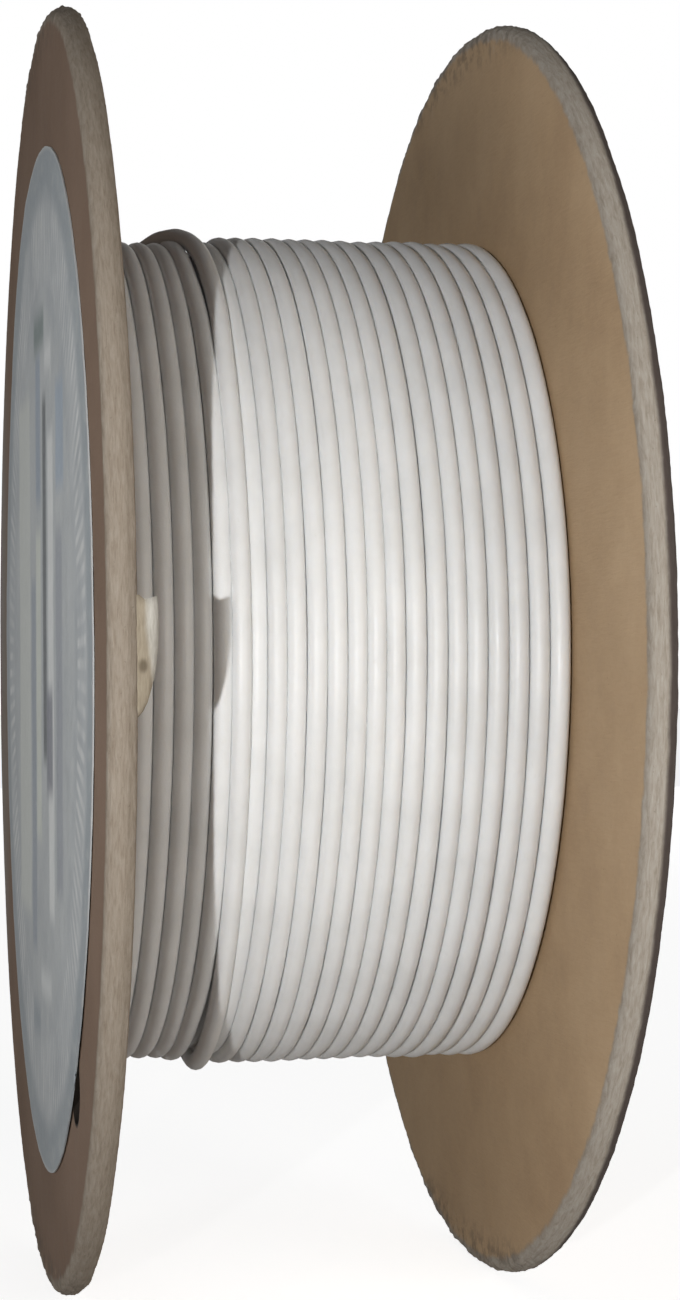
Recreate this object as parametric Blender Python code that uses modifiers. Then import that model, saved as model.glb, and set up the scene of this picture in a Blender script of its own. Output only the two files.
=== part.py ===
"""Wire spool: two fibreboard flanges on a paper core tube, a round label, and
one insulated wire wound in layers between the flanges, with its loose end.

The spool's axis is the X axis. The spool stands on the rims of its flanges,
so z = 0 is the surface it stands on, and the origin lies under its middle.
Metres, +Z up. Every touching pair keeps a small gap.
"""

import math

import bmesh
import bpy
from mathutils import Matrix, Vector

# ---------------------------------------------------------------- dimensions
INCH = 0.0254
GAP = 0.0003                      # between pieces that touch

FLANGE_R = 2.5 * INCH             # 5 in. flange
FLANGE_T = 0.0024                 # 3/32 in. fibreboard
FLANGE_EDGE = 0.0004              # worn round on both corners of the rim
FLANGE_SIDES = 96
ARBOR_R = 0.0080                  # 5/8 in. spindle hole
TUCK_R = 0.0035                   # hole that a wire end is tucked through
TUCK_AT = (-0.0346, -0.0386)      # its centre, across and up from the axis

TRAVERSE = 0.0417                 # between the flanges
CORE_R = 1.25 * INCH              # 2 1/2 in. paper tube
CORE_WALL = 0.0030

LABEL_R = 2.0 * INCH              # 4 in. round label
LABEL_T = 0.00025
LABEL_OFF = (-0.0026, -0.0009)    # it is stuck a little off centre

WIRE_D = 0.0018                   # thin-wall insulated wire
CONDUCTOR_D = 0.0010              # its stranded copper core
HIGH_R = 0.0420                   # outside of most of the turns
LOW_R = 0.04125                   # the turns beside the labelled flange lie lower
CHANNEL_R = 0.0403                # bottom of the channel between the two heights
CHANNEL_X = (-0.0104, -0.0076)

# The label is the outermost thing on one side; the whole is centred on it.
SHIFT_X = (GAP + LABEL_T) / 2
AXIS_Z = FLANGE_R * math.cos(math.pi / FLANGE_SIDES)   # a flat of the rim is down
HALF = TRAVERSE / 2

# The wire's loose end: from the last turns beside the labelled flange it
# crosses over them behind the top, drops into the channel, and follows it
# round the front and under the spool to the back, where it is cut off.
# Angles are from the front (-Y), going over the top.
END_FROM = math.radians(150.0)
END_TO = math.radians(-120.0)
END_X0 = -0.0150
END_X1 = -0.0090
END_OVER_R = LOW_R + GAP + WIRE_D / 2
END_IN_R = CHANNEL_R + GAP + WIRE_D / 2


# ------------------------------------------------------------------- helpers
def clear_scene():
    for obj in list(bpy.data.objects):
        bpy.data.objects.remove(obj, do_unlink=True)
    for coll in list(bpy.data.collections):
        bpy.data.collections.remove(coll)


def new_collection(name):
    coll = bpy.data.collections.new(name)
    bpy.context.scene.collection.children.link(coll)
    return coll


def material(name, color, roughness, metallic=0.0):
    mat = bpy.data.materials.new(name)
    mat.use_nodes = True
    shader = mat.node_tree.nodes["Principled BSDF"]
    shader.inputs["Base Color"].default_value = (*color, 1.0)
    shader.inputs["Roughness"].default_value = roughness
    shader.inputs["Metallic"].default_value = metallic
    mat.diffuse_color = (*color, 1.0)
    return mat


def smooth(obj, angle=35.0):
    obj.data.shade_smooth()
    obj.data.set_sharp_from_angle(angle=math.radians(angle))


def along_x(x, y=0.0, z=0.0):
    """Places a thing built about Z on the spool's axis, at x, and across and up from it."""
    return Matrix.Translation((x + SHIFT_X, y, AXIS_Z + z)) @ Matrix.Rotation(
        math.pi / 2, 4, "Y"
    )


def disc(name, coll, radius, thickness, sides, matrix, mat, turn=0.0):
    """A flat round plate about the local Z axis, its middle at the local origin."""
    bm = bmesh.new()
    bmesh.ops.create_cone(
        bm,
        cap_ends=True,
        segments=sides,
        radius1=radius,
        radius2=radius,
        depth=thickness,
        matrix=Matrix.Rotation(turn, 4, "Z"),
    )
    mesh = bpy.data.meshes.new(name)
    bm.to_mesh(mesh)
    bm.free()
    obj = bpy.data.objects.new(name, mesh)
    obj.matrix_world = matrix
    coll.objects.link(obj)
    if mat:
        mesh.materials.append(mat)
    return obj


def cut(obj, cutter):
    cutter.hide_render = True
    cutter.display_type = "WIRE"
    mod = obj.modifiers.new("cut_" + cutter.name, "BOOLEAN")
    mod.operation = "DIFFERENCE"
    mod.solver = "EXACT"
    mod.object = cutter


def turned(name, coll, profile, sides, mat, parent):
    """A closed ring: profile is (radius, distance along the axis), outer side top to bottom."""
    mesh = bpy.data.meshes.new(name)
    bm = bmesh.new()
    verts = [bm.verts.new((r, 0.0, h)) for r, h in profile]
    for a, b in zip(verts, verts[1:] + verts[:1]):
        bm.edges.new((a, b))
    bm.to_mesh(mesh)
    bm.free()
    obj = bpy.data.objects.new(name, mesh)
    coll.objects.link(obj)
    obj.parent = parent
    screw = obj.modifiers.new("turn", "SCREW")
    screw.axis = "Z"
    screw.angle = 2 * math.pi
    screw.steps = sides
    screw.render_steps = sides
    screw.use_merge_vertices = True
    screw.merge_threshold = 0.00001
    screw.use_smooth_shade = True
    mesh.materials.append(mat)
    return obj


def wire_curve(name, coll, points, mat):
    """A length of wire: a POLY curve with a round bevel and filled ends."""
    curve = bpy.data.curves.new(name, "CURVE")
    curve.dimensions = "3D"
    curve.bevel_depth = WIRE_D / 2
    curve.bevel_resolution = 2
    curve.use_fill_caps = True
    spline = curve.splines.new("POLY")
    spline.points.add(len(points) - 1)
    for point, co in zip(spline.points, points):
        point.co = (*co, 1.0)
    curve.materials.append(mat)
    obj = bpy.data.objects.new(name, curve)
    coll.objects.link(obj)
    return obj


def ease(t):
    t = min(1.0, max(0.0, t))
    return t * t * (3 - 2 * t)


def round_axis(x, radius, angle):
    """A point at this angle from the front, going over the top."""
    return Vector(
        (
            x + SHIFT_X,
            -radius * math.cos(angle),
            AXIS_Z + radius * math.sin(angle),
        )
    )


# ------------------------------------------------------------------ the parts
def flange(name, coll, cutters, side, mat, tucked):
    middle = side * (HALF + FLANGE_T / 2)
    obj = disc(
        name,
        coll,
        FLANGE_R,
        FLANGE_T,
        FLANGE_SIDES,
        along_x(middle),
        mat,
        turn=math.pi / FLANGE_SIDES,
    )
    edge = obj.modifiers.new("worn_edge", "BEVEL")
    edge.width = FLANGE_EDGE
    edge.segments = 2
    edge.limit_method = "ANGLE"
    edge.angle_limit = math.radians(60)
    cut(
        obj,
        disc(name + "_arbor", cutters, ARBOR_R, FLANGE_T * 3, 32, along_x(middle), None),
    )
    if tucked:
        cut(
            obj,
            disc(
                name + "_tuck",
                cutters,
                TUCK_R,
                FLANGE_T * 3,
                20,
                along_x(middle, *TUCK_AT),
                None,
            ),
        )
    return obj


def main():
    clear_scene()
    parts = new_collection("wire_spool")
    cutters = new_collection("cutters")

    board = material("fibreboard", (0.350, 0.235, 0.140), 0.85)
    tube_paper = material("core_paper", (0.420, 0.300, 0.190), 0.85)
    label_paper = material("label_paper", (0.260, 0.300, 0.320), 0.45)
    insulation = material("white_insulation", (0.780, 0.785, 0.770), 0.42)
    copper = material("bare_copper", (0.560, 0.270, 0.140), 0.35, 1.0)

    axle = bpy.data.objects.new("axis", None)
    parts.objects.link(axle)
    axle.matrix_world = along_x(0.0)

    flange("left_flange", parts, cutters, -1, board, True)
    flange("right_flange", parts, cutters, 1, board, False)

    reach = HALF - GAP
    turned(
        "core_tube",
        parts,
        [
            (CORE_R, reach),
            (CORE_R, -reach),
            (CORE_R - CORE_WALL, -reach),
            (CORE_R - CORE_WALL, reach),
        ],
        64,
        tube_paper,
        axle,
    )

    # Stuck on the left flange; its edge runs across the tuck hole.
    outer_face = -(HALF + FLANGE_T)
    label = disc(
        "label",
        parts,
        LABEL_R,
        LABEL_T,
        72,
        along_x(outer_face - GAP - LABEL_T / 2, *LABEL_OFF),
        label_paper,
    )

    # The wound turns, as one plain ring with the outline of the winding.
    soft = WIRE_D / 3
    left, right = CHANNEL_X
    turned(
        "wire_winding",
        parts,
        [
            (HIGH_R, reach - soft),
            (HIGH_R, right + soft),
            (HIGH_R - soft, right),
            (CHANNEL_R, right),
            (CHANNEL_R, left),
            (LOW_R - soft, left),
            (LOW_R, left - soft),
            (LOW_R, -reach + soft),
            (LOW_R - soft, -reach),
            (CORE_R + GAP, -reach),
            (CORE_R + GAP, reach),
            (HIGH_R - soft, reach),
        ],
        72,
        insulation,
        axle,
    )

    # The loose end, lying over the low turns and then in the channel.
    count = 96
    route = []
    for i in range(count + 1):
        angle = END_FROM + (END_TO - END_FROM) * i / count
        across = ease((math.radians(124) - angle) / math.radians(48))
        x = END_X0 + (END_X1 - END_X0) * across
        down = ease((x + 0.0100) / 0.0009)
        route.append(round_axis(x, END_OVER_R + (END_IN_R - END_OVER_R) * down, angle))
    wire_curve("wire_end", parts, route, insulation)

    # The bare copper core stands out of the cut end.
    onward = (route[-1] - route[-2]).normalized()
    stub = 0.0012
    disc(
        "wire_conductor",
        parts,
        CONDUCTOR_D / 2,
        stub,
        12,
        Matrix.Translation(route[-1] + onward * (GAP + stub / 2))
        @ onward.to_track_quat("Z", "Y").to_matrix().to_4x4(),
        copper,
    )

    for obj in (label,):
        smooth(obj)


main()
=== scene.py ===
"""Wire spool: the looks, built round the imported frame. Metres, +Z up, axis along X.

Angles round the axis are in degrees from the front (-Y), going over the top.
"""

import math
import random

import bpy
import bmesh
import numpy as np
from mathutils import Matrix, Vector, noise


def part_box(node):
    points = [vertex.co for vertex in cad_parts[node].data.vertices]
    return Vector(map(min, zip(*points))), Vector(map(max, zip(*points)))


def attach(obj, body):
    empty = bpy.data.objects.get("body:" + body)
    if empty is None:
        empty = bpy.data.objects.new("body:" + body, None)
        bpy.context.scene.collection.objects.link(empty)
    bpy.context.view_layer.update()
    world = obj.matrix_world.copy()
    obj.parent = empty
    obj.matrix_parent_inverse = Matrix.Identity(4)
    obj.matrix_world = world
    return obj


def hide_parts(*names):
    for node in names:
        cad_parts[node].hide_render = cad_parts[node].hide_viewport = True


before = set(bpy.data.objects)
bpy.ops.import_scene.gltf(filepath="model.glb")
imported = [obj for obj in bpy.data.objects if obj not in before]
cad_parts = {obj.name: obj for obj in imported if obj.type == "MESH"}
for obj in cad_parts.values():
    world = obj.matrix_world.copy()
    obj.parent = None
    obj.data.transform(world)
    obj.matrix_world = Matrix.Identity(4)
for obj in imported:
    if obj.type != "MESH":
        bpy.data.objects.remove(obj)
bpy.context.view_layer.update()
random.seed(7)

MM = 0.001


# ------------------------------------------------------------ from the frame
def mm_box(node):
    lo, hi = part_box(node)
    return np.array(lo) / MM, np.array(hi) / MM


lf_lo, lf_hi = mm_box("left_flange")
rf_lo, rf_hi = mm_box("right_flange")
core_lo, core_hi = mm_box("core_tube")
lab_lo, lab_hi = mm_box("label")
wind_lo, wind_hi = mm_box("wire_winding")

AXIS_Z = (lf_lo[2] + lf_hi[2]) / 2
AXIS_Y = (lf_lo[1] + lf_hi[1]) / 2
FLANGE_R = (lf_hi[2] - lf_lo[2]) / 2
SHIFT_X = (lf_lo[0] + rf_hi[0]) / 2          # middle between the outer faces
HALF = (rf_lo[0] - lf_hi[0]) / 2             # half the room between the flanges
FLANGE_T = lf_hi[0] - lf_lo[0]
CORE_R = (core_hi[2] - core_lo[2]) / 2
ARBOR_R = 8.0
LABEL_R = (lab_hi[2] - lab_lo[2]) / 2
LABEL_Y = (lab_hi[1] + lab_lo[1]) / 2 - AXIS_Y
LABEL_Z = (lab_hi[2] + lab_lo[2]) / 2 - AXIS_Z
TUCK_R, TUCK_Y, TUCK_Z = 3.5, -34.6, -38.6
LIE_R = 0.9 * 0.985                          # the wire is pressed a little by its neighbours


def smooth(t):
    t = np.clip(t, 0.0, 1.0)
    return t * t * (3 - 2 * t)


def step(a, b, t):
    return smooth((t - a) / (b - a))


def hash_noise(p, seed=0.0):
    """Smooth noise from -1 to 1 at one point (three numbers)."""
    return noise.noise(Vector((p[0] + seed * 17.31, p[1] - seed * 5.7, p[2] + seed * 9.1)))


def new_object(name, verts, faces, mats=(), smooth_shade=True):
    mesh = bpy.data.meshes.new(name)
    mesh.from_pydata([tuple(v) for v in verts], [], faces)
    mesh.validate()
    mesh.update()
    obj = bpy.data.objects.new(name, mesh)
    bpy.context.scene.collection.objects.link(obj)
    for m in mats:
        mesh.materials.append(m)
    if smooth_shade:
        mesh.shade_smooth()
    return obj


# ---------------------------------------------------------------- materials
class Nodes:
    """A short way to write a node tree."""

    def __init__(self, name):
        self.mat = bpy.data.materials.new(name)
        self.mat.use_nodes = True
        self.tree = self.mat.node_tree
        self.shader = self.tree.nodes["Principled BSDF"]

    def node(self, kind, **inputs):
        n = self.tree.nodes.new(kind)
        for key, value in inputs.items():
            if key.startswith("_"):
                setattr(n, key[1:], value)
        return n

    def feed(self, socket, value):
        if isinstance(value, bpy.types.NodeSocket):
            self.tree.links.new(value, socket)
        else:
            socket.default_value = value

    def math(self, op, a, b=None, c=None, clamp=False):
        n = self.node("ShaderNodeMath", _operation=op, _use_clamp=clamp)
        for i, v in enumerate((a, b, c)):
            if v is not None:
                self.feed(n.inputs[i], v)
        return n.outputs[0]

    def coords(self):
        return self.node("ShaderNodeTexCoord").outputs["Object"]

    def split(self, v):
        n = self.node("ShaderNodeSeparateXYZ")
        self.feed(n.inputs[0], v)
        return n.outputs

    def join(self, x, y, z):
        n = self.node("ShaderNodeCombineXYZ")
        for i, v in enumerate((x, y, z)):
            self.feed(n.inputs[i], v)
        return n.outputs[0]

    def noise(self, v, scale, detail=3.0, rough=0.55, distort=0.0):
        n = self.node("ShaderNodeTexNoise")
        self.feed(n.inputs["Vector"], v)
        n.inputs["Scale"].default_value = scale
        n.inputs["Detail"].default_value = detail
        n.inputs["Roughness"].default_value = rough
        n.inputs["Distortion"].default_value = distort
        return n.outputs["Fac"]

    def ramp(self, fac, stops, interpolation="LINEAR"):
        n = self.node("ShaderNodeValToRGB")
        self.feed(n.inputs[0], fac)
        n.color_ramp.interpolation = interpolation
        while len(n.color_ramp.elements) < len(stops):
            n.color_ramp.elements.new(0.5)
        for e, (at, colour) in zip(n.color_ramp.elements, stops):
            e.position = at
            e.color = (*colour, 1.0) if len(colour) == 3 else colour
        return n.outputs[0]

    def map(self, v, a, b, c=0.0, d=1.0, kind="LINEAR"):
        n = self.node("ShaderNodeMapRange", _interpolation_type=kind)
        self.feed(n.inputs[0], v)
        for i, x in zip((1, 2, 3, 4), (a, b, c, d)):
            n.inputs[i].default_value = x
        return n.outputs[0]

    def mix(self, fac, a, b, blend="MIX"):
        n = self.node("ShaderNodeMix", _data_type="RGBA", _blend_type=blend)
        self.feed(n.inputs[0], fac)
        for i, v in ((6, a), (7, b)):
            if isinstance(v, tuple) and len(v) == 3:
                v = (*v, 1.0)
            self.feed(n.inputs[i], v)
        return n.outputs[2]

    def bump(self, height, strength, distance, before=None):
        n = self.node("ShaderNodeBump")
        n.inputs["Strength"].default_value = strength
        n.inputs["Distance"].default_value = distance
        self.feed(n.inputs["Height"], height)
        if before is not None:
            self.feed(n.inputs["Normal"], before)
        return n.outputs[0]

    def round_axis(self):
        """(x, arc along the rim, distance from the axis), in millimetres."""
        x, y, z = self.split(self.coords())
        x = self.math("MULTIPLY", x, 1000.0)
        y = self.math("MULTIPLY", self.math("SUBTRACT", y, AXIS_Y * MM), 1000.0)
        z = self.math("MULTIPLY", self.math("SUBTRACT", z, AXIS_Z * MM), 1000.0)
        r = self.math("SQRT", self.math("ADD", self.math("MULTIPLY", y, y), self.math("MULTIPLY", z, z)))
        return x, y, z, r

    def finish(self, colour, roughness, normal=None, **constants):
        self.feed(self.shader.inputs["Base Color"], colour)
        self.feed(self.shader.inputs["Roughness"], roughness)
        if normal is not None:
            self.feed(self.shader.inputs["Normal"], normal)
        for key, value in constants.items():
            self.shader.inputs[key.replace("_", " ")].default_value = value
        return self.mat


def fibreboard(name, dark_from, dark_to, shade, rim_shade, hole_shade_and_grey=False):
    """Pressed fibreboard. Its cut rim is paler and greyer; one corner of the rim,
    between the two given x, is painted dark as painted shade of the rounded corner turned away from the light."""
    n = Nodes(name)
    x, y, z, r = n.round_axis()
    place = n.join(x, y, z)
    broad = n.noise(place, 0.045, 3.0, 0.5)
    mid = n.noise(place, 0.30, 4.0, 0.6, 0.4)
    fine = n.noise(n.join(n.math("MULTIPLY", x, 3.0), y, z), 2.2, 4.0, 0.65)
    fibre = n.noise(n.join(n.math("MULTIPLY", x, 3.0), n.math("MULTIPLY", y, 0.25), n.math("MULTIPLY", z, 2.2)), 1.8, 3.0, 0.6, 0.3)
    tone = n.math("ADD", n.math("MULTIPLY", broad, 0.5), n.math("MULTIPLY", mid, 0.26))
    tone = n.math("ADD", tone, n.math("MULTIPLY", fine, 0.12))
    tone = n.math("ADD", tone, n.math("MULTIPLY", fibre, 0.12))
    face = n.ramp(tone, [(at, tuple(v * k for v, k in zip(c, shade))) for at, c in (
        (0.32, (0.380, 0.245, 0.142)), (0.50, (0.465, 0.312, 0.185)), (0.68, (0.535, 0.368, 0.228)))])
    # crushed fibre on the rim, with a wandering edge
    wander = n.noise(place, 0.40, 4.0, 0.7)
    edge = n.math("ADD", r, n.math("MULTIPLY", n.math("SUBTRACT", wander, 0.5), 1.5))
    rim = n.map(edge, FLANGE_R - 1.55, FLANGE_R - 0.85, kind="SMOOTHSTEP")
    plies = n.noise(n.join(n.math("MULTIPLY", x, 4.5), n.math("MULTIPLY", y, 0.5), n.math("MULTIPLY", z, 0.5)), 1.1, 4.0, 0.7, 0.5)
    bare = n.ramp(plies, [(at, tuple(v * k for v, k in zip(c, rim_shade))) for at, c in (
        (0.28, (0.285, 0.238, 0.182)), (0.52, (0.390, 0.345, 0.282)), (0.75, (0.465, 0.425, 0.360)))])
    colour = n.mix(rim, face, bare)
    # painted shade: the rim's corner between dark_from and dark_to is darkened where the rounded far corner turns from
    # the light
    corner_shade = n.math("MULTIPLY", n.map(n.math("ADD", x, n.math("MULTIPLY", n.math("SUBTRACT", mid, 0.5), 0.35)), dark_from, dark_to, kind="SMOOTHSTEP"), n.map(edge, FLANGE_R - 1.3, FLANGE_R - 0.7))
    colour = n.mix(n.math("MULTIPLY", corner_shade, 0.92), colour, (0.060, 0.044, 0.040))
    # scuffed and dirty where the spool has stood and rolled
    high = n.map(n.math("ABSOLUTE", z), 56.5, 61.0, kind="SMOOTHSTEP")
    worn = n.noise(place, 0.55, 3.0, 0.7, 0.3)
    scuff = n.math("MULTIPLY", n.math("MULTIPLY", high, n.map(worn, 0.46, 0.60)), n.map(r, 58.5, 61.5))
    colour = n.mix(n.math("MULTIPLY", scuff, 0.55), colour, (0.120, 0.098, 0.076))
    pale = n.math("MULTIPLY", n.math("MULTIPLY", high, n.map(worn, 0.40, 0.30)), n.map(r, 58.5, 61.5))
    colour = n.mix(n.math("MULTIPLY", pale, 0.35), colour, (0.430, 0.380, 0.300))
    # painted shade: the face round the punched hole is painted near black, for the shade inside the hole
    hole = n.math("SQRT", n.math("ADD", n.math("POWER", n.math("SUBTRACT", y, TUCK_Y), 2.0), n.math("POWER", n.math("SUBTRACT", z, TUCK_Z), 2.0)))
    if hole_shade_and_grey:
        # and the far edge of the labelled face is painted an uneven grey
        grey = n.math("MULTIPLY", n.map(y, 42.0, 60.0, 0.0, 1.0, kind="SMOOTHSTEP"), n.map(broad, 0.30, 0.65, 0.55, 1.0))
        colour = n.mix(n.math("MULTIPLY", grey, n.map(x, lf_lo[0] + 0.4, lf_lo[0] + 0.9, 0.75, 0.0)), colour, (0.270, 0.262, 0.240))
        # painted shade round the punched hole
        colour = n.mix(n.map(hole, TUCK_R + 0.10, TUCK_R + 0.40, 1.0, 0.0), colour, (0.018, 0.014, 0.011))
    # dark specks of bark
    speck = n.noise(place, 3.4, 2.0, 0.5)
    colour = n.mix(n.map(speck, 0.70, 0.76, 0.0, 0.30), colour, (0.10, 0.065, 0.04))
    height = n.math("ADD", n.math("MULTIPLY", fine, 0.35), n.math("MULTIPLY", fibre, 0.35))
    height = n.math("ADD", height, n.math("MULTIPLY", n.math("MULTIPLY", plies, rim), 1.2))
    normal = n.bump(height, 0.55, 0.00016)
    rough = n.map(mid, 0.3, 0.7, 0.70, 0.88)
    return n.finish(colour, rough, normal, Specular_IOR_Level=0.30)


def insulation():
    n = Nodes("white_insulation")
    x, y, z, r = n.round_axis()
    place = n.join(x, y, z)
    mottle = n.noise(place, 0.16, 3.0, 0.6)
    scuff = n.noise(n.join(n.math("MULTIPLY", x, 2.5), y, z), 0.9, 3.0, 0.6)
    colour = n.ramp(mottle, [(0.30, (0.745, 0.752, 0.748)), (0.55, (0.790, 0.797, 0.795)), (0.75, (0.820, 0.827, 0.826))])
    colour = n.mix(n.map(scuff, 0.62, 0.82, 0.0, 0.18), colour, (0.60, 0.59, 0.56))
    fine = n.noise(place, 5.0, 2.0, 0.5)
    normal = n.bump(n.math("ADD", fine, n.math("MULTIPLY", scuff, 0.6)), 0.22, 0.00010)
    rough = n.map(scuff, 0.3, 0.75, 0.36, 0.50)
    return n.finish(colour, rough, normal, Specular_IOR_Level=0.42, Subsurface_Weight=0.30,
                    Subsurface_Radius=(1.0, 0.92, 0.82), Subsurface_Scale=0.00055)


def sliver():
    """Torn fibre, paler than the board."""
    n = Nodes("torn_fibre")
    x, y, z, r = n.round_axis()
    fibre = n.noise(n.join(n.math("MULTIPLY", x, 3.0), y, n.math("MULTIPLY", z, 0.4)), 1.6, 4.0, 0.65)
    pale = n.ramp(fibre, [(0.3, (0.400, 0.375, 0.325)), (0.7, (0.590, 0.570, 0.520))])
    tan = n.ramp(fibre, [(0.3, (0.270, 0.225, 0.165)), (0.7, (0.400, 0.345, 0.262))])
    # its root still looks like the rim; low down, more of it does
    out = n.math("SUBTRACT", x, lf_hi[0] + 0.10)
    root = n.math("SUBTRACT", out, n.map(z, 1.5, -3.5, 0.50, 1.15))
    colour = n.mix(n.map(root, -0.25, 0.35, kind="SMOOTHSTEP"), tan, pale)
    # painted shade: a dark spot painted as the shade of a small pit, which is not modelled
    pit = n.math("SQRT", n.math("ADD", n.math("POWER", n.math("SUBTRACT", out, 0.30), 2.0), n.math("POWER", n.math("MULTIPLY", n.math("ADD", z, 1.55), 0.7), 2.0)))
    colour = n.mix(n.map(pit, 0.15, 0.55, 0.75, 0.0, kind="SMOOTHSTEP"), colour, (0.110, 0.085, 0.055))
    return n.finish(colour, n.map(fibre, 0.3, 0.7, 0.75, 0.9), n.bump(fibre, 0.6, 0.0001), Specular_IOR_Level=0.25)


def copper():
    n = Nodes("bare_copper")
    place = n.round_axis()
    tone = n.noise(n.join(*place[:3]), 4.0, 2.0, 0.5)
    colour = n.ramp(tone, [(0.3, (0.50, 0.22, 0.11)), (0.7, (0.72, 0.38, 0.22))])
    return n.finish(colour, n.map(tone, 0.3, 0.7, 0.28, 0.42), None, Metallic=1.0)


def tube_paper():
    """Kraft paper wound in a spiral."""
    n = Nodes("kraft_tube")
    x, y, z, r = n.round_axis()
    turn = n.math("MULTIPLY", n.math("ARCTAN2", z, y), CORE_R)
    along = n.math("ADD", x, n.math("MULTIPLY", turn, 0.38))
    seam = n.math("ABSOLUTE", n.math("SUBTRACT", n.math("FRACT", n.math("DIVIDE", along, 26.0)), 0.5))
    fibre = n.noise(n.join(n.math("MULTIPLY", x, 0.4), y, z), 1.6, 4.0, 0.65)
    colour = n.ramp(fibre, [(0.3, (0.330, 0.225, 0.135)), (0.7, (0.470, 0.345, 0.225))])
    line = n.map(seam, 0.0, 0.012, 0.55, 0.0)
    colour = n.mix(line, colour, (0.16, 0.105, 0.06))
    normal = n.bump(n.math("SUBTRACT", fibre, line), 0.5, 0.0002)
    return n.finish(colour, n.map(fibre, 0.3, 0.7, 0.75, 0.9), normal, Specular_IOR_Level=0.3)


def label_paper():
    """Coated label paper: plain rings, a band of ticks and blank blocks; no lettering."""
    n = Nodes("label_paper")
    x, y, z, _ = n.round_axis()
    u = n.math("SUBTRACT", y, LABEL_Y)
    v = n.math("SUBTRACT", z, LABEL_Z)
    r = n.math("SQRT", n.math("ADD", n.math("MULTIPLY", u, u), n.math("MULTIPLY", v, v)))
    turn = n.math("ARCTAN2", v, u)
    place = n.join(x, y, z)
    cloud = n.noise(place, 0.09, 3.0, 0.55)
    ground = n.ramp(cloud, [(0.30, (0.440, 0.470, 0.490)), (0.70, (0.550, 0.575, 0.585))])

    def band(value, lo, hi, soft=0.35):
        up = n.map(value, lo - soft, lo + soft, kind="SMOOTHSTEP")
        down = n.map(value, hi - soft, hi + soft, 1.0, 0.0, kind="SMOOTHSTEP")
        return n.math("MULTIPLY", up, down)

    def patch(u0, u1, v0, v1, soft=1.0):
        return n.math("MULTIPLY", band(u, u0, u1, soft), band(v, v0, v1, soft * 1.4))

    # a slightly darker border, a band of ticks inside it, and a paler disc
    colour = n.mix(n.map(r, 45.0, 47.6, 0.0, 0.60, kind="SMOOTHSTEP"), ground, (0.290, 0.335, 0.365))
    ticks = n.math("SINE", n.math("MULTIPLY", turn, 136.0))
    fade = n.noise(place, 0.16, 2.0, 0.5)
    worn = n.map(fade, 0.38, 0.62, 0.15, 0.95)
    mark = n.math("MULTIPLY", n.math("MULTIPLY", band(r, 38.0, 45.2, 0.9), n.map(ticks, -0.5, 0.8)), worn)
    colour = n.mix(n.math("MULTIPLY", mark, 0.80), colour, (0.780, 0.790, 0.780))
    colour = n.mix(n.map(r, 33.0, 36.5, 0.25, 0.0, kind="SMOOTHSTEP"), colour, (0.640, 0.660, 0.650))
    # rubbed paper, and its torn pale edge
    rub = n.noise(n.join(x, n.math("MULTIPLY", y, 0.6), z), 0.55, 4.0, 0.65)
    colour = n.mix(n.map(rub, 0.50, 0.72, 0.0, 0.45), colour, (0.62, 0.63, 0.61))
    colour = n.mix(n.map(r, LABEL_R - 0.5, LABEL_R - 0.1, 0.0, 0.5), colour, (0.66, 0.66, 0.64))
    # blank bars that stand where a maker prints its table
    for u0, u1, v0, v1, k, c in (
        (14.0, 29.0, -27.0, 28.0, 0.70, (0.720, 0.740, 0.690)),
        (7.0, 12.5, -30.0, 8.0, 0.70, (0.330, 0.370, 0.430)),
        (0.5, 6.5, -18.0, 13.0, 0.75, (0.740, 0.770, 0.690)),
        (0.5, 6.0, 16.0, 31.0, 0.65, (0.300, 0.370, 0.470)),
        (-6.0, -2.0, -10.0, 26.0, 0.90, (0.150, 0.160, 0.170)),
        (-14.0, -8.0, -25.0, 22.0, 0.80, (0.860, 0.875, 0.860)),
        (-12.5, -6.0, -13.0, -3.0, 0.80, (0.210, 0.215, 0.260)),
        (-23.0, -16.5, -22.0, 12.0, 0.60, (0.330, 0.350, 0.400)),
        (-25.0, -17.0, 16.0, 26.0, 0.55, (0.330, 0.430, 0.560)),
        (-4.0, 8.0, 31.5, 35.0, 0.75, (0.170, 0.225, 0.215)),
        (-12.0, -5.0, 28.5, 31.0, 0.65, (0.850, 0.860, 0.850)),
        (-10.0, 2.0, -33.5, -31.0, 0.70, (0.800, 0.820, 0.810)),
        (3.0, 12.0, -38.5, -35.5, 0.60, (0.300, 0.350, 0.390)),
    ):
        colour = n.mix(n.math("MULTIPLY", patch(u0, u1, v0, v1), k), colour, c)
    wrinkle = n.noise(place, 0.28, 3.0, 0.5)
    normal = n.bump(n.math("ADD", wrinkle, n.math("MULTIPLY", rub, 0.08)), 0.35, 0.0006)
    return n.finish(colour, n.map(rub, 0.3, 0.75, 0.33, 0.55), normal, Specular_IOR_Level=0.45)


# Two copies of one fibreboard: the left copy's face colour is darkened and greyed, and both rims' colours are scaled,
# as painted shade for how much light each side gets
BOARD_L = fibreboard("fibreboard_left", lf_hi[0] + 5.0, lf_hi[0] + 6.0, (0.470, 0.468, 0.550), (0.775, 0.735, 0.715), True)
BOARD_R = fibreboard("fibreboard_right", rf_hi[0] - 1.10, rf_hi[0] - 0.62, (0.965, 1.010, 1.020), (0.90, 0.905, 0.935))
WHITE = insulation()
COPPER = copper()
SLIVER = sliver()
TUBE = tube_paper()
LABEL = label_paper()


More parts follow.
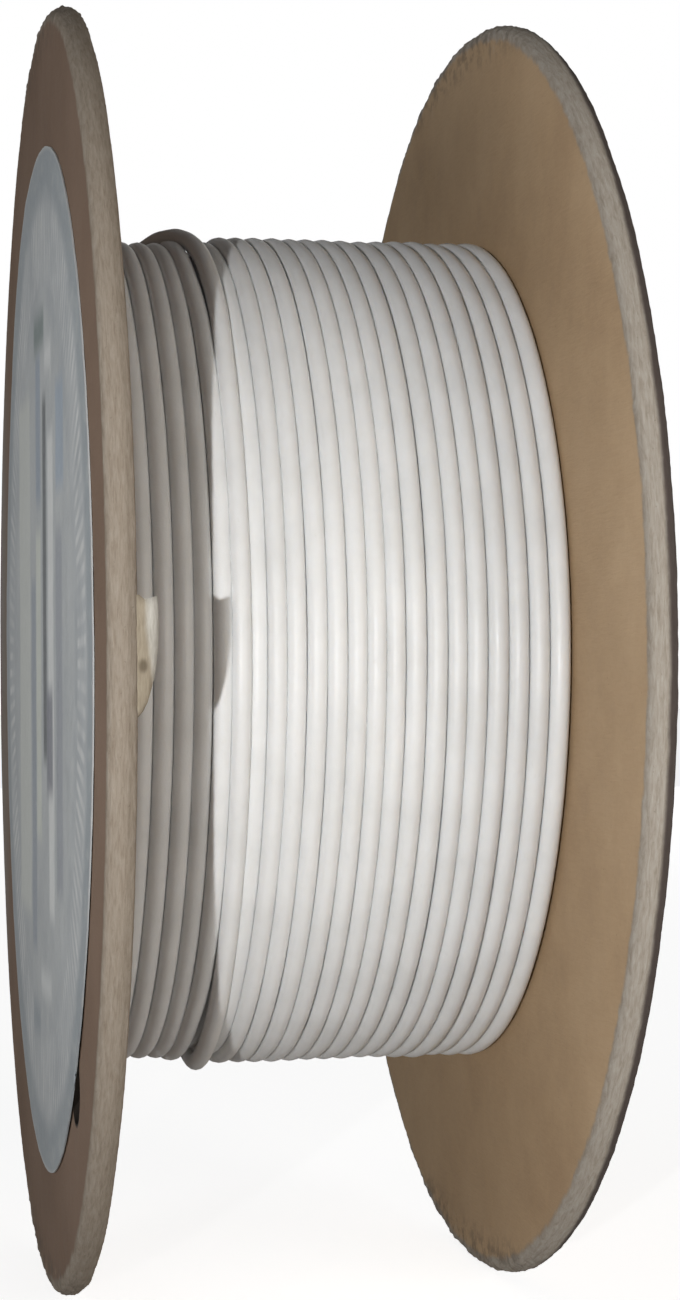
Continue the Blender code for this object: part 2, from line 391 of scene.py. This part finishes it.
# ------------------------------------------------------------------ flanges
def flange(name, node, lo, hi, mat, tucked):
    """A stamped disc with crushed, fraying corners. lo and hi are its faces' x."""
    segs = 900
    mid = (lo + hi) / 2
    half = (hi - lo) / 2
    face = [ARBOR_R + 0.25, 9.0, 12.0, 17.0, 23.0, 30.0, 37.0, 43.0, 47.5, 51.0, 53.5, 55.5, 57.2, 58.4, 59.3, 60.1, 60.8, 61.3]
    corner = [0, 9, 19, 30, 42, 54, 66, 78]
    rings = [(r, -1.0, 0.0) for r in face]
    rings += [("corner", -1, a) for a in corner]
    rings += [("rim", t, 0) for t in (-0.8, -0.5, -0.2, 0.1, 0.4, 0.7)]
    rings += [("corner", 1, a) for a in reversed(corner)]
    rings += [(r, 1.0, 0.0) for r in reversed(face)]
    rings += [("bore", 0.8, 0), ("bore", 0.27, 0), ("bore", -0.27, 0), ("bore", -0.8, 0)]
    verts = []
    seed = 3.0 if tucked else 8.0
    for j in range(segs):
        a = math.tau * j / segs
        py, pz = -math.cos(a), math.sin(a)      # angle from the front, going over the top
        fray = step(0.86, 0.985, abs(pz))       # the top and the foot are knocked about
        # how far the corners are crushed here, on either side
        crush = []
        for s, base in ((-1, 1.0), (1, 0.60 if tucked else 0.45)):
            w = hash_noise((py * 6, pz * 6, s * 3.1), seed)
            w2 = hash_noise((py * 24, pz * 24, s * 1.7), seed)
            w3 = hash_noise((py * 60, pz * 60, s * 0.7), seed)
            crush.append(min(max(base + (0.22 + 0.25 * fray) * w + (0.10 + 0.35 * fray) * w2 + (0.06 + 0.2 * fray) * w3, 0.30), 1.75))
        wob = 0.06 * hash_noise((py * 5, pz * 5, 0), seed + 1)
        warp = 0.10 * math.sin(a * 2 + seed) + 0.05 * hash_noise((py * 2, pz * 2, 0), seed + 2)
        for entry in rings:
            if entry[0] == "corner":
                s, deg = entry[1], math.radians(entry[2])
                c = crush[0 if s < 0 else 1]
                cx = min(c * 0.80, 0.95)
                r = FLANGE_R - 0.05 - c + c * math.sin(deg)
                x = s * (half - cx + cx * math.cos(deg))
                g = (0.035 + 0.10 * fray) * hash_noise((py * 95, pz * 95, x * 2.2), seed + 3)
                g += (0.03 + 0.05 * fray) * hash_noise((py * 210, pz * 210, x * 5.0), seed + 4)
                g *= step(0.0, 25.0, entry[2])
                r += g * math.sin(deg) + wob
                x += s * g * math.cos(deg)
            elif entry[0] == "rim":
                w = half - 0.80 * (crush[0] + crush[1]) / 2
                x = entry[1] * max(w, 0.25) + 0.35 * (crush[0] - crush[1])
                g = (0.04 + 0.10 * fray) * hash_noise((py * 80, pz * 80, x * 3.0), seed + 3)
                g += (0.035 + 0.05 * fray) * hash_noise((py * 230, pz * 230, x * 7.0), seed + 4)
                r = FLANGE_R + 0.10 + 0.12 * (1 - entry[1] ** 2) + g + wob
            elif entry[0] == "bore":
                x = entry[1] * half
                r = ARBOR_R + 0.05 * hash_noise((py * 9, pz * 9, x), seed + 5)
            else:
                r, s, _ = entry
                x = s * half
                x += s * 0.018 * hash_noise((py * r * 0.5, pz * r * 0.5, s), seed + 6)
                x += s * fray * 0.07 * hash_noise((py * r * 1.1, pz * r * 1.1, s), seed + 7) * step(57.0, 60.0, r)
                r = min(r, FLANGE_R - 0.12 - crush[0 if s < 0 else 1] - 0.04 * (61.3 - r))
            k = max(0.0, (r - 30.0) / 33.5) ** 2
            up = max(AXIS_Z + r * pz, 0.0)
            verts.append(((mid + x + warp * k * 0.6) * MM, (AXIS_Y + r * py) * MM, up * MM))
    n = len(rings)
    faces = []
    for j in range(segs):
        k = (j + 1) % segs
        for i in range(n):
            m = (i + 1) % n
            faces.append((j * n + i, k * n + i, k * n + m, j * n + m))
    obj = new_object(name, verts, faces, [mat])
    bm = bmesh.new()
    bm.from_mesh(obj.data)
    bmesh.ops.recalc_face_normals(bm, faces=bm.faces)
    bm.to_mesh(obj.data)
    bm.free()
    if tucked:
        punch(obj, mid, TUCK_R, TUCK_Y, TUCK_Z, 6.0, 48)
    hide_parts(node)
    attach(obj, "root")
    return obj


def punch(obj, x, radius, y, z, depth, sides, rough=0.0):
    """Cuts a round hole along X with an exact Boolean, and applies it."""
    verts, faces = [], []
    for s in (-1, 1):
        for j in range(sides):
            a = math.tau * j / sides
            r = radius * (1 + rough * hash_noise((math.cos(a) * 2, math.sin(a) * 2, 1.0), 4))
            verts.append(((x + s * depth / 2) * MM, (AXIS_Y + y + r * math.cos(a)) * MM, (AXIS_Z + z + r * math.sin(a)) * MM))
    faces = [tuple(range(sides)), tuple(reversed(range(sides, 2 * sides)))]
    faces += [(j, (j + 1) % sides, sides + (j + 1) % sides, sides + j) for j in range(sides)]
    tool = new_object("punch_tool", verts, faces, smooth_shade=False)
    bm = bmesh.new()
    bm.from_mesh(tool.data)
    bmesh.ops.recalc_face_normals(bm, faces=bm.faces)
    bm.to_mesh(tool.data)
    bm.free()
    mod = obj.modifiers.new("punch", "BOOLEAN")
    mod.operation, mod.solver, mod.object = "DIFFERENCE", "EXACT", tool
    graph = bpy.context.evaluated_depsgraph_get()
    mesh = bpy.data.meshes.new_from_object(obj.evaluated_get(graph))
    obj.modifiers.clear()
    old, obj.data = obj.data, mesh
    bpy.data.meshes.remove(old)
    bpy.data.objects.remove(tool, do_unlink=True)
    obj.data.shade_smooth()
    obj.data.set_sharp_from_angle(angle=math.radians(50))


flange("left_flange_board", "left_flange", lf_lo[0], lf_hi[0], BOARD_L, True)
flange("right_flange_board", "right_flange", rf_lo[0], rf_hi[0], BOARD_R, False)


def splinter():
    """A sliver of the rim that stands off the left flange's inner edge at the front."""
    profile = [                                 # height, x of its two edges past the flange
        (3.95, -0.45, 1.58), (3.2, -0.45, 1.62), (2.2, -0.45, 1.63), (1.1, -0.45, 1.62), (-0.2, -0.45, 1.58),
        (-1.7, -0.45, 1.44), (-2.7, -0.45, 1.27), (-3.6, -0.45, 1.04), (-4.4, -0.45, 0.76), (-5.1, -0.45, 0.44),
        (-5.6, -0.45, 0.05),
    ]
    verts, faces = [], []
    for i, (z, a, b) in enumerate(profile):
        for k in range(5):
            t = k / 4
            x = lf_hi[0] + a + (b - a) * t + 0.05 * hash_noise((i * 1.1, k * 0.9, 5), 43)
            z2 = z + 0.10 * hash_noise((i * 0.9, k * 1.3, 0), 41)
            if i == 0:
                z2 += (0.0, 0.12, -0.30, -0.18, 0.05)[k]
            bow = 0.35 * t * t + 0.05 * hash_noise((i, k * 0.8, 2), 42)
            for thick in (0.0, 0.32):
                r = FLANGE_R - 0.35 - bow - thick * (1 - 0.5 * t)
                verts.append((x * MM, (AXIS_Y - math.sqrt(r * r - z2 * z2)) * MM, (AXIS_Z + z2) * MM))
    for i in range(len(profile) - 1):
        for k in range(4):
            o, q = (i * 5 + k) * 2, ((i + 1) * 5 + k) * 2
            faces += [(o, o + 2, q + 2, q), (o + 1, q + 1, q + 3, o + 3)]
    last = (len(profile) - 1) * 10
    for k in range(4):
        faces.append((k * 2, k * 2 + 1, k * 2 + 3, k * 2 + 2))
        faces.append((last + k * 2, last + k * 2 + 2, last + k * 2 + 3, last + k * 2 + 1))
    for i in range(len(profile) - 1):
        o, q = i * 10, (i + 1) * 10
        faces += [(o, q, q + 1, o + 1), (o + 8, o + 9, q + 9, q + 8)]
    obj = new_object("rim_splinter", verts, faces, [SLIVER])
    bm = bmesh.new()
    bm.from_mesh(obj.data)
    bmesh.ops.recalc_face_normals(bm, faces=bm.faces)
    bm.to_mesh(obj.data)
    bm.free()
    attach(obj, "root")


splinter()


# -------------------------------------------------------------------- label
def label():
    segs, inner = 256, [0.0, 4, 8, 12, 16, 20, 24, 28, 32, 36, 39, 42, 44.5, 46.5, 48.2, 49.4, 50.2, LABEL_R]
    base = lf_lo[0] - 0.07
    verts, faces = [], []

    def lift(y, z, r):
        w = 0.05 * hash_noise((y * 0.12, z * 0.12, 0.3), 21) + 0.025 * hash_noise((y * 0.4, z * 0.4, 0.7), 22)
        a = math.atan2(z, y)
        curl = max(0.0, math.cos(a - math.radians(228))) ** 14 * 0.10 + max(0.0, math.cos(a - math.radians(70))) ** 10 * 0.22
        return 0.04 + abs(w) + curl * step(43.0, LABEL_R, r)

    verts.append(((base - lift(0, 0, 0)) * MM, (AXIS_Y + LABEL_Y) * MM, (AXIS_Z + LABEL_Z) * MM))
    for r in inner[1:]:
        for j in range(segs):
            a = math.tau * j / segs
            rr = r + (0.06 * hash_noise((math.cos(a) * 30, math.sin(a) * 30, 0), 23) if r == LABEL_R else 0)
            if r == LABEL_R:                     # its edge has shrunk back at the tuck hole
                rr -= 0.60 * max(0.0, math.cos(a - math.radians(229))) ** 12
            y, z = LABEL_Y + rr * math.cos(a), LABEL_Z + rr * math.sin(a)
            verts.append(((base - lift(y, z, rr)) * MM, (AXIS_Y + y) * MM, (AXIS_Z + z) * MM))
    for j in range(segs):
        faces.append((0, 1 + j, 1 + (j + 1) % segs))
    for i in range(len(inner) - 2):
        for j in range(segs):
            k = (j + 1) % segs
            o = 1 + i * segs
            faces.append((o + j, o + segs + j, o + segs + k, o + k))
    obj = new_object("round_label", verts, faces, [LABEL])
    thick = obj.modifiers.new("paper", "SOLIDIFY")
    thick.thickness, thick.offset = 0.00012, 0.0
    graph = bpy.context.evaluated_depsgraph_get()
    mesh = bpy.data.meshes.new_from_object(obj.evaluated_get(graph))
    obj.modifiers.clear()
    old, obj.data = obj.data, mesh
    bpy.data.meshes.remove(old)
    obj.data.shade_smooth()
    obj.data.set_sharp_from_angle(angle=math.radians(50))
    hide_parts("label")
    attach(obj, "root")
    return obj


label()


# --------------------------------------------------------------------- wire
# Turns are given by the x of their middle, measured from the middle between
# the flanges. The widths are not all equal, as on a machine-wound spool that
# has been handled. The first five lie a little lower, beside the left flange.
GROOVES = [-20.62, -18.70, -16.82, -15.02, -13.25, -11.60, -9.85, -8.35, -6.80, -5.15, -3.38,
           -1.55, 0.26, 2.05, 3.76, 5.50, 7.42, 9.36, 11.10, 12.95, 14.88, 16.84, 18.66, 20.66]
TOP = [(a + b) / 2 for a, b in zip(GROOVES, GROOVES[1:])]
COLUMNS = len(TOP)
SLOT = 6
HIGH, LOW = 41.12, 40.40                       # centre radius of the top layer
FIRST = CORE_R + 0.3 + 0.9
LAYERS = 6
CROSS = 145.0                                  # a turn steps over to the next beyond this angle


def turn_x(i, phi):
    """x of top turn i at this angle, with the small wander of each turn."""
    x = TOP[i] + 0.0013 * phi * (1 - step(110, 180, abs(phi)))
    x += 0.045 * hash_noise((math.cos(math.radians(phi)) * 1.7, math.sin(math.radians(phi)) * 1.7, i * 0.9), 31)
    tilt = {8: 0.07, 9: 0.0, 10: 0.0, 11: 0.10, 12: 0.05, 7: 0.03, 16: 0.03, 20: -0.03}.get(i, 0.0)
    return x + tilt * math.sin(math.radians(phi)) * step(12, 60, abs(phi))


def turn_r(i, phi):
    base = LOW if i < 5 else (40.75 if i == 5 else HIGH)
    base += 0.05 * hash_noise((math.cos(math.radians(phi)) * 1.3, math.sin(math.radians(phi)) * 1.3, i * 1.3), 37)
    return base + {7: -0.55, 8: -0.02, 11: 0.03, 15: -0.06, 16: -0.10, 19: 0.04, 20: -0.10}.get(i, 0.0)


def shove(i, phi):
    """How the turns beside the loose end give way to it, and part behind it."""
    side = step(46, 62, abs(phi)) * (1 - step(150, 175, abs(phi)))
    foot = step(66, 84, -phi) * (1 - step(120, 150, -phi))
    if i == 5:
        return -0.20 * side, -0.05 * side
    if i == 7:
        return 0.10 * side, -0.35 * foot
    if i in (8, 9):
        return (0.0 if i == 8 else 0.14) * foot, 0.0
    return 0.0, 0.0


def lay():
    """(points, radii) down the wire's middle, from the core to the last whole turn."""
    turns = []                                  # (layer, column)
    for layer in range(LAYERS):
        cols = list(range(COLUMNS))
        if (LAYERS - 1 - layer) % 2 == 0:       # the top layer is wound from right to left
            cols.reverse()
        if layer == LAYERS - 1:                 # the loose end lies where this turn would
            cols.remove(SLOT)
        turns += [(layer, c) for c in cols]

    def place(turn, phi):
        layer, c = turn
        if layer == LAYERS - 1:
            dx, dr = shove(c, phi)
            return turn_x(c, phi) + dx, turn_r(c, phi) + dr
        share = layer / (LAYERS - 1)
        top_r = LOW if c < 6 else HIGH
        r = FIRST + (top_r - FIRST) * share
        x = -HALF + 0.95 + (2 * HALF - 1.9) * c / (COLUMNS - 1)
        return x, r

    def thick(turn):
        """Radius: a turn is pressed flat or round by the width it has."""
        layer, c = turn
        if layer < LAYERS - 1:
            return LIE_R
        return min(max((GROOVES[c + 1] - GROOVES[c]) * 0.497, 0.872), 0.932)

    points, radii = [], []
    for k, turn in enumerate(turns):
        top = turn[0] == LAYERS - 1
        count = 150 if top else (48 if turn[0] == LAYERS - 2 else 30)
        for s in range(count):
            phi = 180.0 - 360.0 * s / count     # the wire runs down the front
            x, r = place(turn, phi)
            rad = thick(turn)
            if abs(phi) > CROSS:
                w = 0.5 * float(smooth((abs(phi) - CROSS) / (180.0 - CROSS)))
                other = turns[k - 1] if phi > 0 else (turns[k + 1] if k + 1 < len(turns) else None)
                if phi > 0 and k == 0:
                    other = None
                if other is not None:
                    ox, orr = place(other, phi)
                    x, r = x + (ox - x) * w, r + (orr - r) * w
                    rad += (thick(other) - rad) * w
            if k == len(turns) - 1 and phi < -150.0:
                break
            points.append((x, r, phi - 360.0 * k))
            radii.append(rad * MM)
    return points, radii


def to_row(x, r, phi):
    a = math.radians(phi)
    return ((SHIFT_X + x) * MM, (AXIS_Y - r * math.cos(a)) * MM, (AXIS_Z + r * math.sin(a)) * MM)


def tube(name, path, radius, sides, mat, cap=True, dent=None):
    """A round tube along path (row-frame points), its rings square to it."""
    p = np.array(path)
    t = np.gradient(p, axis=0)
    t /= np.linalg.norm(t, axis=1)[:, None]
    out = p - np.array([0, AXIS_Y * MM, AXIS_Z * MM])
    out[:, 0] = 0
    out -= (out * t).sum(1)[:, None] * t
    length = np.linalg.norm(out, axis=1)
    out /= np.maximum(length, 1e-9)[:, None]
    side = np.cross(t, out)
    a = np.linspace(0, math.tau, sides, endpoint=False)
    rad = radius if np.ndim(radius) else np.full(len(p), radius)
    rings = p[:, None, :] + rad[:, None, None] * (
        np.cos(a)[None, :, None] * out[:, None, :] + np.sin(a)[None, :, None] * side[:, None, :]
    )
    verts = rings.reshape(-1, 3)
    n = len(p)
    faces = []
    for i in range(n - 1):
        for j in range(sides):
            k = (j + 1) % sides
            faces.append((i * sides + j, i * sides + k, (i + 1) * sides + k, (i + 1) * sides + j))
    if cap:
        faces.append(tuple(reversed(range(sides))))
        faces.append(tuple(range((n - 1) * sides, n * sides)))
    obj = new_object(name, verts, faces, [mat])
    bm = bmesh.new()
    bm.from_mesh(obj.data)
    bmesh.ops.recalc_face_normals(bm, faces=bm.faces)
    bm.to_mesh(obj.data)
    bm.free()
    obj.data.set_sharp_from_angle(angle=math.radians(50))
    return obj


def loose_end(last):
    """From the last turn beside the left flange, back over the turns behind the
    top, then down the front in the slot that the top layer leaves, and under
    the spool to the back, where it is cut."""
    x0, r0, phi0 = last
    base = phi0 - ((phi0 + 180.0) % 360.0 - 180.0)       # whole turns so far
    local0 = (phi0 + 180.0) % 360.0 - 180.0
    keys = [                                             # local angle, x, centre radius
        (local0, x0, r0),
        (-164.0, x0 + 0.06, r0 + 0.18),
        (-178.0, -19.1, 41.30),
        (-192.0, -18.3, 41.92),
        (-206.0, -17.3, 42.03),
        (-222.0, -15.9, 42.03),
        (-238.0, -14.6, 42.03),
        (-250.0, -13.55, 42.02),
        (-260.0, -12.6, 41.96),
        (-267.0, -11.8, 41.84),
        (-272.0, -11.05, 41.90),
        (-276.5, -10.12, 41.90),
        (-281.0, -9.62, 41.72),
        (-287.0, -9.18, 41.50),
        (-297.0, -8.98, 41.40),
        (-308.0, -8.95, 41.30),
        (-322.0, -9.10, 41.15),
        (-340.0, -9.14, 41.08),
        (-360.0, -9.14, 41.08),
        (-384.0, -9.12, 41.08),
        (-402.0, -9.06, 41.14),
        (-414.0, -8.95, 41.28),
        (-426.0, -8.85, 41.42),
        (-436.0, -8.65, 41.60),
        (-445.0, -8.30, 41.78),
        (-454.0, -8.05, 41.80),
        (-466.0, -8.10, 41.66),
        (-482.0, -8.45, 41.50),
    ]
    at = np.array([k[0] for k in keys])
    xs = np.array([k[1] for k in keys])
    rs = np.array([k[2] for k in keys])
    phi = np.arange(at[0] - 2.0, at[-1], -2.0)

    def curve(values):
        """Smooth through the keys: piecewise cubic with limited slopes."""
        h = np.diff(-at)
        d = np.diff(values) / h
        m = np.zeros(len(at))
        m[1:-1] = np.where(d[:-1] * d[1:] > 0, 2 * d[:-1] * d[1:] / np.where(d[:-1] + d[1:] == 0, 1, d[:-1] + d[1:]), 0.0)
        m[0], m[-1] = d[0], d[-1]
        i = np.clip(np.searchsorted(-at, -phi) - 1, 0, len(h) - 1)
        u = (-phi + at[i]) / h[i]
        return ((1 + 2 * u) * (1 - u) ** 2 * values[i] + u * (1 - u) ** 2 * h[i] * m[i]
                + u * u * (3 - 2 * u) * values[i + 1] + u * u * (u - 1) * h[i] * m[i + 1])

    return list(zip(curve(xs), curve(rs), phi + base))


points, radii = lay()
tail = loose_end(points[-1])
path = [to_row(*p) for p in points + tail]
wire = tube("insulated_wire", path, np.array(radii + [LIE_R * MM] * len(tail)), 14, WHITE)

# the cut end: seven strands of bare copper, slightly splayed
end, back = np.array(path[-1]), np.array(path[-3])
along = (end - back) / np.linalg.norm(end - back)
e1 = np.cross(along, [1.0, 0, 0])
e1 /= np.linalg.norm(e1)
e2 = np.cross(along, e1)
strand_verts, strand_faces = [], []
for s in range(7):
    a0 = s * math.tau / 6
    off = 0.0 if s == 6 else 0.31
    rings = 9
    first = len(strand_verts)
    reach = 1.25 + 0.10 * hash_noise((s, 0, 0), 5)
    for i in range(rings):
        t = i / (rings - 1)
        splay = off * (1 + 0.22 * t * t)
        a = a0 + 0.6 * t
        c = end + along * (reach * t - 0.35) * MM + (e1 * math.cos(a) + e2 * math.sin(a)) * splay * MM
        for j in range(8):
            b = math.tau * j / 8
            rad = 0.155 * (0.72 if i == rings - 1 else 1.0)
            strand_verts.append(c + (e1 * math.cos(b) + e2 * math.sin(b)) * rad * MM)
    for i in range(rings - 1):
        for j in range(8):
            k = (j + 1) % 8
            strand_faces.append((first + i * 8 + j, first + i * 8 + k, first + (i + 1) * 8 + k, first + (i + 1) * 8 + j))
    strand_faces.append(tuple(first + j for j in reversed(range(8))))
    strand_faces.append(tuple(first + (rings - 1) * 8 + j for j in range(8)))
strands = new_object("copper_strands", strand_verts, strand_faces, [COPPER])
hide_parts("wire_conductor")
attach(strands, "root")

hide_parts("wire_winding", "wire_end")
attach(wire, "root")

# ---------------------------------------------------------------- core tube
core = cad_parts["core_tube"]
core.data.materials.clear()
core.data.materials.append(TUBE)


# ------------------------------------------------------------ floor and light
def stage():
    floor = new_object("floor", [(-3, -3, -0.00005), (3, -3, -0.00005), (3, 3, -0.00005), (-3, 3, -0.00005)], [(0, 1, 2, 3)], smooth_shade=False)
    mat = bpy.data.materials.new("pale_floor")
    mat.use_nodes = True
    shader = mat.node_tree.nodes["Principled BSDF"]
    shader.inputs["Base Color"].default_value = (0.80, 0.80, 0.80, 1)
    shader.inputs["Roughness"].default_value = 0.9
    shader.inputs["Specular IOR Level"].default_value = 0.1
    # the floor looks as pale as the backdrop, but throws little light upward
    tree = mat.node_tree
    glow = tree.nodes.new("ShaderNodeEmission")
    glow.inputs["Color"].default_value = (1, 1, 1, 1)
    glow.inputs["Strength"].default_value = 0.82
    both = tree.nodes.new("ShaderNodeAddShader")
    pick = tree.nodes.new("ShaderNodeMixShader")
    seen = tree.nodes.new("ShaderNodeLightPath")
    out = tree.nodes["Material Output"]
    tree.links.new(shader.outputs[0], both.inputs[0])
    tree.links.new(glow.outputs[0], both.inputs[1])
    tree.links.new(seen.outputs["Is Camera Ray"], pick.inputs[0])
    faint = tree.nodes.new("ShaderNodeEmission")
    faint.inputs["Color"].default_value = (1, 0.98, 0.95, 1)
    faint.inputs["Strength"].default_value = 0.07
    dim = tree.nodes.new("ShaderNodeAddShader")
    tree.links.new(shader.outputs[0], dim.inputs[0])
    tree.links.new(faint.outputs[0], dim.inputs[1])
    tree.links.new(dim.outputs[0], pick.inputs[1])
    tree.links.new(both.outputs[0], pick.inputs[2])
    tree.links.new(pick.outputs[0], out.inputs["Surface"])
    floor.data.materials.append(mat)

    world = bpy.data.worlds.new("studio")
    world.use_nodes = True
    tree = world.node_tree
    tree.nodes.clear()
    out = tree.nodes.new("ShaderNodeOutputWorld")
    mix = tree.nodes.new("ShaderNodeMixShader")
    seen = tree.nodes.new("ShaderNodeBackground")
    lit = tree.nodes.new("ShaderNodeBackground")
    seen.inputs[0].default_value = (1, 1, 1, 1)
    seen.inputs[1].default_value = 1.0
    lit.inputs[0].default_value = (0.97, 0.985, 1.0, 1)
    lit.inputs[1].default_value = 0.26
    where = tree.nodes.new("ShaderNodeTexCoord")
    parts = tree.nodes.new("ShaderNodeSeparateXYZ")
    level = tree.nodes.new("ShaderNodeMapRange")
    for i, v in zip((1, 2, 3, 4), (-0.05, 0.65, 0.25, 0.05)):
        level.inputs[i].default_value = v
    tree.links.new(where.outputs["Generated"], parts.inputs[0])
    tree.links.new(parts.outputs["Z"], level.inputs[0])
    tree.links.new(level.outputs[0], lit.inputs[1])
    path_node = tree.nodes.new("ShaderNodeLightPath")
    tree.links.new(path_node.outputs["Is Camera Ray"], mix.inputs[0])
    tree.links.new(lit.outputs[0], mix.inputs[1])
    tree.links.new(seen.outputs[0], mix.inputs[2])
    tree.links.new(mix.outputs[0], out.inputs[0])
    bpy.context.scene.world = world

    centre = Vector((SHIFT_X, AXIS_Y, AXIS_Z)) * MM

    def area(name, azimuth, elevation, distance, width, height, power, colour=(1, 1, 1), aim=centre):
        data = bpy.data.lights.new(name, "AREA")
        data.shape = "RECTANGLE"
        data.size, data.size_y, data.energy, data.color = width, height, power, colour
        lamp = bpy.data.objects.new(name, data)
        a, e = math.radians(azimuth), math.radians(elevation)
        back = Vector((math.sin(a) * math.cos(e), -math.cos(a) * math.cos(e), math.sin(e)))
        lamp.location = aim + back * distance
        lamp.rotation_euler = (-back).to_track_quat("-Z", "Y").to_euler()
        bpy.context.scene.collection.objects.link(lamp)

    def spot(name, azimuth, elevation, distance, radius, angle, power, aim):
        data = bpy.data.lights.new(name, "SPOT")
        data.energy, data.shadow_soft_size = power, radius
        data.spot_size, data.spot_blend = math.radians(angle), 1.0
        lamp = bpy.data.objects.new(name, data)
        a, e = math.radians(azimuth), math.radians(elevation)
        lamp.location = centre + Vector((math.sin(a) * math.cos(e), -math.cos(a) * math.cos(e), math.sin(e))) * distance
        lamp.rotation_euler = (aim - lamp.location).to_track_quat("-Z", "Y").to_euler()
        bpy.context.scene.collection.objects.link(lamp)

    # azimuth 0 is the front, and -90 the labelled side
    spot("key", -22.2, -0.62, 0.50, 0.003, 23.2, 6.0, centre + Vector((0.018, -0.045, 0)))
    area("front_fill", 28.0, 1.0, 0.70, 0.30, 0.30, 1.60, (1.0, 0.93, 0.84))
    area("label_fill", -74.0, -5.0, 0.80, 0.50, 0.60, 2.75)
    area("back_fill", 165.0, 10.0, 1.0, 0.6, 0.6, 0.8)
    area("side_fill", 88.0, 4.0, 1.0, 0.5, 0.5, 0.6)

stage()


# ------------------------------------------------------------------- camera
def camera():
    data = bpy.data.cameras.new("camera")
    cam = bpy.data.objects.new("camera", data)
    bpy.context.scene.collection.objects.link(cam)
    azimuth, elevation, roll, yaw, pitch = 0.1674, -0.0052, -0.0056, 0.028, -0.0002
    distance = 4.2501 * 63.5 * MM
    centre = Vector((SHIFT_X * MM, AXIS_Y * MM, AXIS_Z * MM))
    out = Vector((-math.sin(azimuth) * math.cos(elevation), -math.cos(azimuth) * math.cos(elevation), math.sin(elevation)))
    forward = -out
    right_ = forward.cross(Vector((0, 0, 1))).normalized()
    up = right_.cross(forward)
    forward = (forward + math.tan(yaw) * right_ + math.tan(pitch) * up).normalized()
    right_ = forward.cross(Vector((0, 0, 1))).normalized()
    up = right_.cross(forward)
    r2 = math.cos(roll) * right_ + math.sin(roll) * up
    u2 = -math.sin(roll) * right_ + math.cos(roll) * up
    turn = Matrix((r2, u2, -forward)).transposed().to_4x4()
    cam.matrix_world = Matrix.Translation(centre + out * distance) @ turn
    data.sensor_fit = "AUTO"
    data.sensor_width = 36.0                    # along the picture's long side
    data.lens = 2609.71 / 1300.0 * 36.0
    data.clip_start, data.clip_end = 0.01, 20.0
    bpy.context.scene.camera = cam
    bpy.context.scene.view_settings.view_transform = "Standard"


camera()

bpy.context.view_layer.update()
